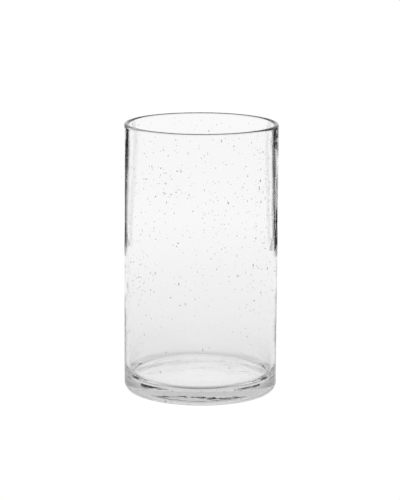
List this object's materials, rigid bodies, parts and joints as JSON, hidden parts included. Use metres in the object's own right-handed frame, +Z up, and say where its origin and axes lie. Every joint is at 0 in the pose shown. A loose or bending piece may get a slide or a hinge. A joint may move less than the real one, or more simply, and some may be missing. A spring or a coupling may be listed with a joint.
{
  "type": "glass cylinder vase",
  "caption": "Tall straight-sided cylinder vase of clear seeded glass, blown by hand, with a fire-polished lip, gas seeds in the wall and a thick, slightly hollowed base.",
  "frame": {"origin": "centre of the circle that the vase stands on, at table height", "axes": "+Z up along the vase's axis, from base to mouth; +X and +Y square to it, and alike but for where the seeds lie"},
  "size_m": [0.12, 0.12, 0.21],
  "materials": {
    "clear_glass": "clear soda-lime glass, blown and fire-polished, slightly wavy",
    "gas_seed": "gas pocket sealed in clear glass, seen as a bright bead with a dark edge"
  },
  "bodies": {
    "root": {"lip": "clear_glass", "wall": "clear_glass", "heel": "clear_glass", "floor": "clear_glass", "seeds_lip": "gas_seed", "seeds_shoulder": "gas_seed", "seeds_upper_wall": "gas_seed", "seeds_middle_wall": "gas_seed", "seeds_lower_wall": "gas_seed", "seeds_heel": "gas_seed", "seeds_floor": "gas_seed"}
  },
  "joints": []
}
